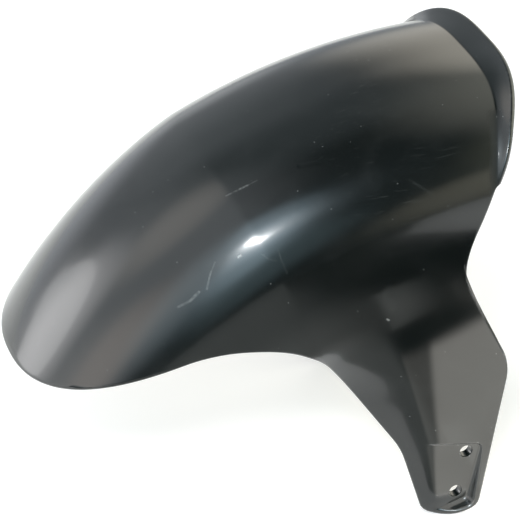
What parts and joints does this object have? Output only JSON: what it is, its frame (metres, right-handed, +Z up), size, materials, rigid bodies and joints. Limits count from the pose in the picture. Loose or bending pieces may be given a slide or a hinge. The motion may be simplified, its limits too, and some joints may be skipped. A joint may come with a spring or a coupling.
{
  "type": "motorcycle front mudguard",
  "caption": "Moulded front mudguard with an arched crown, a rounded nose, a flared rear lip and a side leg each side with a recessed bolt pad.",
  "frame": {"origin": "under the middle of the mudguard on its plane of symmetry, level with the lowest edge of the legs", "axes": "+X forward along the direction of travel, +Y to the left, +Z up, as the mudguard hangs on the forks"},
  "size_m": [0.234, 0.1536, 0.2144],
  "materials": {
    "shell": "glossy dark charcoal moulding, lightly hazed and scuffed"
  },
  "bodies": {
    "root": {"mudguard": "shell"}
  },
  "joints": []
}
